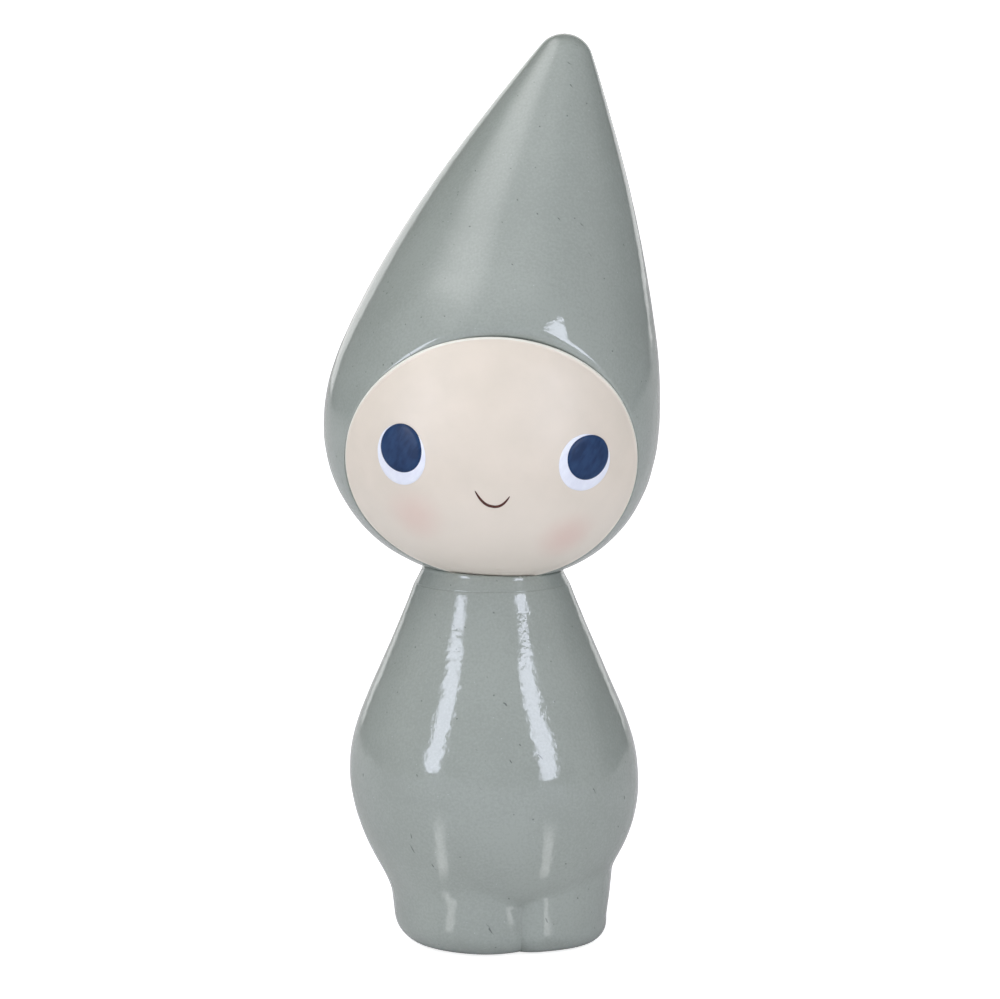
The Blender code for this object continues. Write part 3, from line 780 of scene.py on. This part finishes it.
def beech():
    """Turned beech: long fine grain and short dark flecks."""
    wood = Nodes("beech_look")
    stretch = wood.add("ShaderNodeMapping")
    stretch.inputs["Scale"].default_value = (1, 1, 0.08)
    wood.put(stretch, Vector=wood.place)
    grain = wood.noise(1300, 5, place=stretch.outputs["Vector"])
    flecks = wood.remap(wood.noise(3800, 2, place=stretch.outputs["Vector"]), 0.6, 0.7)
    colour = wood.mix(wood.remap(grain, 0.3, 0.7), linear(198, 160, 118), linear(176, 134, 92))
    colour = wood.mix(wood.maths("MULTIPLY", flecks, 0.5), colour, linear(126, 88, 58))
    wood.put(wood.shader, Base_Color=colour, Roughness=wood.remap(grain, 0.3, 0.7, 0.5, 0.65),
             Normal=wood.bump(grain, 0.02 * MM))
    return wood.material


def felt():
    """Pressed grey wool felt: tangled fibres in two tones."""
    wool = Nodes("felt_look")
    tangle = wool.noise(5200, 6, Distortion=1.6)
    cloud = wool.noise(700, 3)
    colour = wool.mix(wool.remap(tangle, 0.35, 0.65), linear(78, 80, 79), linear(118, 120, 117))
    colour = wool.mix(wool.remap(cloud, 0.4, 0.7, 0, 0.3), colour, linear(92, 92, 90))
    wool.put(wool.shader, Base_Color=colour, Roughness=wool.remap(tangle, 0.3, 0.7, 0.88, 0.98),
             Normal=wool.bump(tangle, 0.12 * MM))
    wool.put(wool.shader, Sheen_Weight=0.35, Sheen_Roughness=0.5)
    return wool.material


# ---------------------------------------------------------------- studio

STRIP_AZIMUTHS = (-49, 45)
STREAK_AZIMUTHS = (-40, 38)         # of the painted light streaks on the table, which lie closer together
STREAK_START = (24 * MM, 28 * MM)   # from the table's middle, where a streak fades in
STREAK_END = (45 * MM, 80 * MM)     # and where it fades away
PAINTED_STREAK_GLOW = 1.9
CAMERA_LENS = 262.7
CAMERA_DISTANCE = 1.2
CAMERA_ELEVATION = radians(8)
CAMERA_AIM = Vector((0.00135, 0, 0.4927 * HOOD_HIGH.z))


def add_light(name, azimuth, elevation, distance, width, height, radiance, tint=(1, 1, 1)):
    """Area light that faces the figurine and stays out of the camera's sight."""
    light = bpy.data.lights.new(name, "AREA")
    light.shape = "RECTANGLE"
    light.size = width
    light.size_y = height
    light.energy = radiance * pi * width * height
    light.color = tint
    lamp = bpy.data.objects.new(name, light)
    outward = Vector(direction(radians(azimuth), radians(elevation)))
    lamp.location = Vector((0, 0, BODY_HIGH.z)) + distance * outward
    lamp.rotation_mode = "QUATERNION"
    lamp.rotation_quaternion = outward.to_track_quat("Z", "Y")
    lamp.visible_camera = False
    bpy.context.scene.collection.objects.link(lamp)
    return lamp


def add_strip(name, azimuth):
    """Upright strip light, seen from the figurine from just above level to well above it."""
    low, high = 0.045, 0.405
    lamp = add_light(name, azimuth, 0, 0.5, 0.14, high - low, 6.6, (0.9, 0.94, 1.1))
    lamp.location.z = (low + high) / 2


def add_soft_light(name, azimuth, elevation, distance, width, height, radiance):
    """Area light that is brightest in its middle and fades to nothing at its edges."""
    light = add_light(name, azimuth, elevation, distance, width, height, radiance).data
    light.use_nodes = True
    tree = light.node_tree
    glow = tree.nodes["Emission"]
    place = tree.nodes.new("ShaderNodeNewGeometry")
    away = tree.nodes.new("ShaderNodeVectorMath")
    away.operation = "DISTANCE"
    away.inputs[1].default_value = (0.5, 0.5, 0)
    fade = tree.nodes.new("ShaderNodeMapRange")
    fade.interpolation_type = "SMOOTHSTEP"
    for key, value in (("From Min", 0.5), ("From Max", 0.08), ("To Min", 0.0), ("To Max", 1.0)):
        fade.inputs[key].default_value = value
    tree.links.new(place.outputs["Parametric"], away.inputs[0])
    tree.links.new(away.outputs["Value"], fade.inputs["Value"])
    tree.links.new(fade.outputs["Result"], glow.inputs["Strength"])


def painted_streak_glow(table, azimuths):
    """Painted light: glow of two streaks that stand in for the strip lights' light on the table, from
    its middle outwards.
    """
    split = table.add("ShaderNodeSeparateXYZ")
    table.put(split, Vector=table.place)
    total = 0.0
    for azimuth in azimuths:
        heading = direction(radians(azimuth), 0.0)
        along = table.maths("ADD", table.maths("MULTIPLY", split.outputs["X"], float(heading[0])),
                            table.maths("MULTIPLY", split.outputs["Y"], float(heading[1])))
        aside = table.maths("SUBTRACT", table.maths("MULTIPLY", split.outputs["X"], float(heading[1])),
                            table.maths("MULTIPLY", split.outputs["Y"], float(heading[0])))
        clear = table.maths("MAXIMUM", along, 1 * MM)
        spread = table.maths("DIVIDE", table.maths("ABSOLUTE", aside), clear)
        streak = table.remap(spread, 0.085, 0.05, smooth=True)
        fade = table.remap(along, *STREAK_START, smooth=True)
        end = table.remap(along, STREAK_END[1], STREAK_END[0], 0, PAINTED_STREAK_GLOW, smooth=True)
        level = table.maths("MULTIPLY", table.maths("MULTIPLY", streak, fade), end)
        total = table.maths("ADD", level, total)
    return total


def add_floor():
    """Pale round table top under the figurine."""
    points = 96
    turn = np.linspace(0, 2 * pi, points, endpoint=False)
    radius = 3.0
    ring = np.column_stack((radius * np.cos(turn), radius * np.sin(turn), 0 * turn))
    mesh = bpy.data.meshes.new("floor")
    mesh.from_pydata(ring.tolist(), [], [list(range(points))])
    table = Nodes("floor_look")
    tone = table.remap(table.noise(12, 3), 0.3, 0.7)
    glow = table.remap(table.add("ShaderNodeLightPath").outputs["Is Camera Ray"], 0, 1, 0.05, 0.85)
    # Painted light: two streaks on the table glow, as a stand-in for the strip lights shining on it.
    glow = table.maths("ADD", glow, painted_streak_glow(table, STREAK_AZIMUTHS))
    away = table.add("ShaderNodeVectorMath", operation="LENGTH")
    table.tree.links.new(table.place, away.inputs[0])
    glow = table.maths("ADD", glow, table.remap(away.outputs["Value"], 0.12, 0.6, 0, 0.1))
    table.put(table.shader, Base_Color=table.mix(tone, linear(222, 222, 223), linear(226, 226, 227)),
              Roughness=table.remap(table.noise(40, 2), 0.3, 0.7, 0.7, 0.8),
              Emission_Color=(1, 1, 1, 1), Emission_Strength=glow)
    mesh.materials.append(table.material)
    floor = bpy.data.objects.new("floor", mesh)
    bpy.context.scene.collection.objects.link(floor)


def add_world():
    """Grey room with a white backdrop behind the figurine; the camera sees plain white."""
    world = bpy.data.worlds.new("studio")
    bpy.context.scene.world = world
    world.use_nodes = True
    tree = world.node_tree
    tree.nodes.clear()
    place = tree.nodes.new("ShaderNodeTexCoord")
    split = tree.nodes.new("ShaderNodeSeparateXYZ")
    behind = tree.nodes.new("ShaderNodeValToRGB")
    levels = behind.color_ramp.elements
    levels[0].position = 0.0
    levels[1].position = 1.0
    for depth, level in ((0.0, 0.5), (0.4, 0.09), (0.83, 0.09), (0.855, 1.2), (1.0, 1.2)):
        stop = levels[0] if depth == 0 else levels[-1] if depth == 1 else levels.new(depth)
        stop.color = (0.97 * level, 0.985 * level, 1.03 * level, 1)
    path = tree.nodes.new("ShaderNodeLightPath")
    choose = tree.nodes.new("ShaderNodeMix")
    choose.inputs["B"].default_value = 1.0
    background = tree.nodes.new("ShaderNodeBackground")
    background.inputs["Color"].default_value = (1, 1, 1, 1)
    output = tree.nodes.new("ShaderNodeOutputWorld")
    tree.links.new(place.outputs["Generated"], split.inputs[0])
    tree.links.new(split.outputs["Y"], behind.inputs["Fac"])
    tree.links.new(path.outputs["Is Camera Ray"], choose.inputs["Factor"])
    tree.links.new(behind.outputs["Color"], choose.inputs["A"])
    tree.links.new(choose.outputs["Result"], background.inputs["Strength"])
    tree.links.new(background.outputs["Background"], output.inputs["Surface"])


def add_camera():
    """Camera at the photograph's angle: from the front, a little above."""
    camera = bpy.data.cameras.new("camera")
    camera.sensor_width = 36
    camera.lens = CAMERA_LENS
    camera.clip_start = 0.1
    camera.clip_end = 20
    viewer = bpy.data.objects.new("camera", camera)
    back = Vector(direction(0.0, CAMERA_ELEVATION))
    viewer.location = CAMERA_AIM + CAMERA_DISTANCE * back
    viewer.rotation_mode = "QUATERNION"
    viewer.rotation_quaternion = back.to_track_quat("Z", "Y")
    bpy.context.scene.collection.objects.link(viewer)
    bpy.context.scene.camera = viewer


# ---------------------------------------------------------------- the figurine

SAGE = sage_lacquer()
add_hood(SAGE)
add_face(cream_face())
add_eyes(brushed_enamel("white_enamel_look", (222, 225, 235), (230, 233, 241), 0.3),
         brushed_enamel("navy_enamel_look", (18, 44, 79), (31, 59, 97), 0.3))
add_smile(brushed_enamel("brown_line_look", (70, 38, 32), (88, 52, 44), 0.4))
add_body(SAGE)
add_neck(SAGE)
WOOL = felt()
for pad_side in ("left", "right"):
    add_pad("pad_" + pad_side, "felt_pad_" + pad_side, WOOL)
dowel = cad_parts["neck_dowel"]
dowel.data.materials.clear()
dowel.data.materials.append(beech())

add_camera()
add_floor()
add_world()
for side, strip_azimuth in zip(("left", "right"), STRIP_AZIMUTHS):
    add_strip("strip_" + side, strip_azimuth)
add_soft_light("soft_left", -94, 63, 1.2, 2.2, 0.95, 2.3)
add_soft_light("soft_front", -5, 62, 1.3, 1.8, 1.1, 0.55)
bpy.context.scene.view_settings.view_transform = "Standard"
